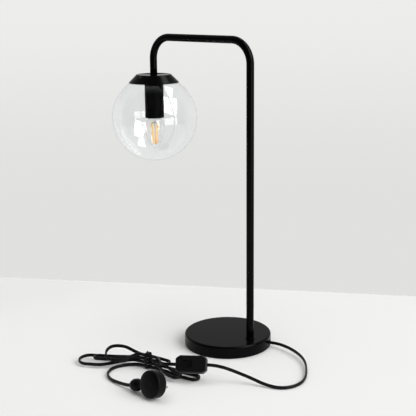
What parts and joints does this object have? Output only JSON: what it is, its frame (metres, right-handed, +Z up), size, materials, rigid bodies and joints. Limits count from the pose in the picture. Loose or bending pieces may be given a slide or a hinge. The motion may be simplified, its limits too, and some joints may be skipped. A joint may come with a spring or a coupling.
{
  "type": "table lamp",
  "caption": "Table lamp with a round weighted base, a bent tube, a clear glass globe under a conical cap, a candle bulb, and a flex with an inline rocker switch and a two-pin plug.",
  "frame": {"origin": "centre of the base's underside, on the table", "axes": "+Z up; the arm runs along -X from the upright, which stands on the +X side of the base; the flex leaves the base at 25 degrees from +X toward +Y and lies on the -Y side"},
  "size_m": [0.4479, 0.3345, 0.5304],
  "materials": {
    "black_enamel": "semi-matte black enamel",
    "pad_foam": "black closed-cell foam",
    "iron_casting": "as cast, lightly oiled",
    "zinc_steel": "bright zinc plate",
    "clear_glass": "clear blown glass",
    "bulb_clear_glass": "clear thin glass",
    "lamp_brass": "bright brass",
    "cap_nickel": "bright nickel plate",
    "filament_coat": "amber phosphor coating",
    "lamp_ceramic": "black glazed insulator",
    "holder_resin": "black moulded resin",
    "flex_pvc": "black PVC sheath, semi-matte",
    "switch_plastic": "black moulded case, fine texture",
    "plug_pvc": "black moulded PVC",
    "tie_plastic": "black plastic tie"
  },
  "bodies": {
    "lamp": {"base_pad": "pad_foam", "base_weight": "iron_casting", "base_cover": "black_enamel", "weight_studs": "zinc_steel", "weight_nuts": "zinc_steel", "cord_bush": "switch_plastic", "cord_clamp": "zinc_steel", "cord_clamp_screws": "zinc_steel", "foot_collar": "black_enamel", "foot_nipple": "zinc_steel", "foot_washer": "zinc_steel", "foot_nut": "zinc_steel", "stem_tube": "black_enamel", "inner_flex": "flex_pvc", "globe_cap": "black_enamel", "fitter_ring": "zinc_steel", "globe_screws": "zinc_steel", "head_nipple": "zinc_steel", "head_nut": "zinc_steel", "holder_sleeve": "black_enamel", "holder_body": "holder_resin", "holder_screw_shell": "lamp_brass", "holder_contact": "lamp_brass", "cord_base_to_switch": "flex_pvc", "cord_hank": "flex_pvc", "cord_hank_to_plug": "flex_pvc", "cord_tie": "tie_plastic", "switch_lower_case": "switch_plastic", "switch_upper_case": "switch_plastic", "switch_contacts": "lamp_brass", "switch_screws": "zinc_steel", "plug_body": "plug_pvc", "plug_grip": "plug_pvc", "plug_pins": "lamp_brass", "plug_pin_sleeves": "switch_plastic"},
    "globe": {"glass_globe": "clear_glass"},
    "bulb": {"bulb_glass": "bulb_clear_glass", "bulb_cap": "cap_nickel", "bulb_insulator": "lamp_ceramic", "bulb_contact": "cap_nickel", "bulb_stem": "bulb_clear_glass", "bulb_leads": "zinc_steel", "bulb_filaments": "filament_coat"},
    "rocker": {"switch_rocker": "switch_plastic"}
  },
  "joints": [
    {"name": "globe_lift_off", "type": "slide", "parent": "lamp", "child": "globe", "axis": [0, 0, -1], "range_m": [0, 0.135]},
    {"name": "bulb_unscrew", "type": "slide", "parent": "lamp", "child": "bulb", "axis": [0, 0, -1], "range_m": [0, 0.018]},
    {"name": "rocker_pivot", "type": "hinge", "parent": "lamp", "child": "rocker", "pos_m": [0.05876, -0.16845, 0.03054], "axis": [-0.3194, 0.4228, 0.848], "range_deg": [0, 16]}
  ]
}
